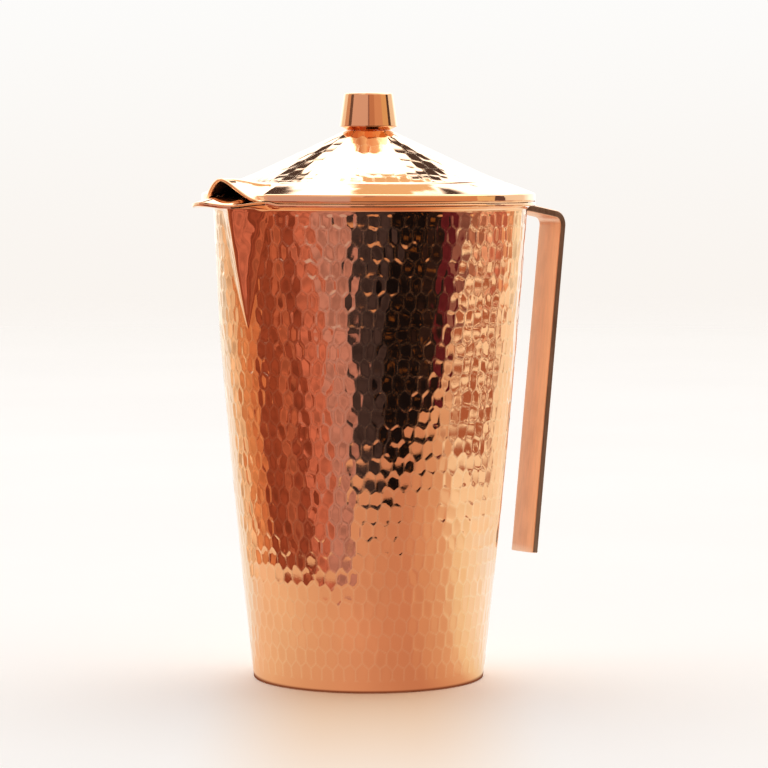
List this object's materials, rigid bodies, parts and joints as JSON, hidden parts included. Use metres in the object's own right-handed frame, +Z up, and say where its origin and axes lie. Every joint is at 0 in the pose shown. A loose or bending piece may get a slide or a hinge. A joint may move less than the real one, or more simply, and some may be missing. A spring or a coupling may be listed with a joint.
{
  "type": "water jug",
  "caption": "Tapered copper water jug with a flared lip, a drawn spout, an open strap handle and a lift-off cone lid with a hood over the spout and a turned knob.",
  "frame": {"origin": "centre of the base's underside, on the jug's axis", "axes": "+Z up along the jug's axis, +X towards the handle, the spout points along -X"},
  "size_m": [0.1927, 0.141, 0.2476],
  "materials": {
    "polished_copper": "polished copper, hammered on the wall and the cone",
    "satin_copper": "satin, brushed copper",
    "yellow_brass": "plain turned brass"
  },
  "bodies": {
    "jug": {"body_wall": "polished_copper", "base_disc": "satin_copper", "handle_strap": "satin_copper", "handle_rivet_upper": "satin_copper", "handle_rivet_lower": "satin_copper", "rivet_burr_upper": "satin_copper", "rivet_burr_lower": "satin_copper"},
    "lid": {"lid_shell": "polished_copper", "lid_collar": "satin_copper", "knob": "polished_copper", "knob_washer": "satin_copper", "knob_screw": "yellow_brass"}
  },
  "joints": [
    {"name": "lid_lift", "type": "slide", "parent": "jug", "child": "lid", "axis": [0, 0, 1], "range_m": [0, 0.06]}
  ]
}
